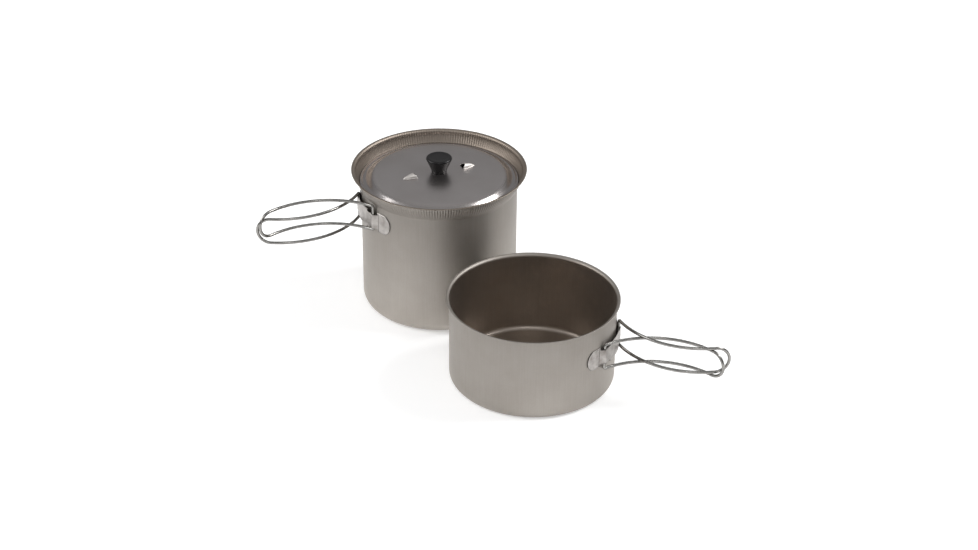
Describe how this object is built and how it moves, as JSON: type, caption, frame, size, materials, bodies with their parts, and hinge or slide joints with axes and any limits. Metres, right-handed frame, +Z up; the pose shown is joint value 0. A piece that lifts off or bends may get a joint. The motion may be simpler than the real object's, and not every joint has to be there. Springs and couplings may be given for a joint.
{
  "type": "camping cookware set",
  "caption": "Nesting camping cook set: a tall pot with a flared rim, its lid with a knob and steam vents, and a short pot, each with folding wire handles.",
  "frame": {"origin": "centre of the tall pot's base, on the ground", "axes": "+Z up along the tall pot's axis; +X to the right and +Y away, seen from the front"},
  "size_m": [0.372, 0.2591, 0.1301],
  "materials": {
    "titanium": "bare titanium sheet, satin, with faint vertical drawing marks",
    "lid_titanium": "bare titanium sheet, satin, pale",
    "bracket_metal": "bright stamped sheet",
    "weld_metal": "flattened spot weld",
    "wire": "bright drawn stainless wire",
    "knob_black": "black heat-resistant plastic, smooth",
    "brass_insert": "turned brass",
    "fastener_steel": "zinc-free stainless steel"
  },
  "bodies": {
    "tall_body": {"tall_pot": "titanium", "tall_bracket": "bracket_metal", "tall_bracket_welds": "weld_metal"},
    "lid": {"lid_plate": "lid_titanium", "lid_knob": "knob_black", "knob_insert": "brass_insert", "lid_screw": "fastener_steel", "lid_washer": "fastener_steel"},
    "short_body": {"short_pot": "titanium", "short_bracket": "bracket_metal", "short_bracket_welds": "weld_metal"},
    "tall_near_handle": {"tall_near_handle": "wire"},
    "tall_far_handle": {"tall_far_handle": "wire"},
    "short_near_handle": {"short_near_handle": "wire"},
    "short_far_handle": {"short_far_handle": "wire"}
  },
  "joints": [
    {"name": "lid_lift", "type": "slide", "parent": "tall_body", "child": "lid", "axis": [0, 0, 1], "range_m": [0, 0.06]},
    {"name": "short_pot_lift", "type": "slide", "parent": "tall_body", "child": "short_body", "axis": [0, 0, 1], "range_m": [0, 0.13]},
    {"name": "tall_near_handle_hinge", "type": "hinge", "parent": "tall_body", "child": "tall_near_handle", "pos_m": [-0.05204, -0.04044, 0.0925], "axis": [0, 0, 1], "range_deg": [0, 155]},
    {"name": "tall_far_handle_hinge", "type": "hinge", "parent": "tall_body", "child": "tall_far_handle", "pos_m": [-0.06527, -0.00912, 0.0925], "axis": [0, 0, 1], "range_deg": [-152, 0]},
    {"name": "short_near_handle_hinge", "type": "hinge", "parent": "short_body", "child": "short_near_handle", "pos_m": [0.13066, -0.15884, 0.0422], "axis": [0, 0, 1], "range_deg": [-156, 0]},
    {"name": "short_far_handle_hinge", "type": "hinge", "parent": "short_body", "child": "short_far_handle", "pos_m": [0.14295, -0.12714, 0.0422], "axis": [0, 0, 1], "range_deg": [0, 147]}
  ]
}
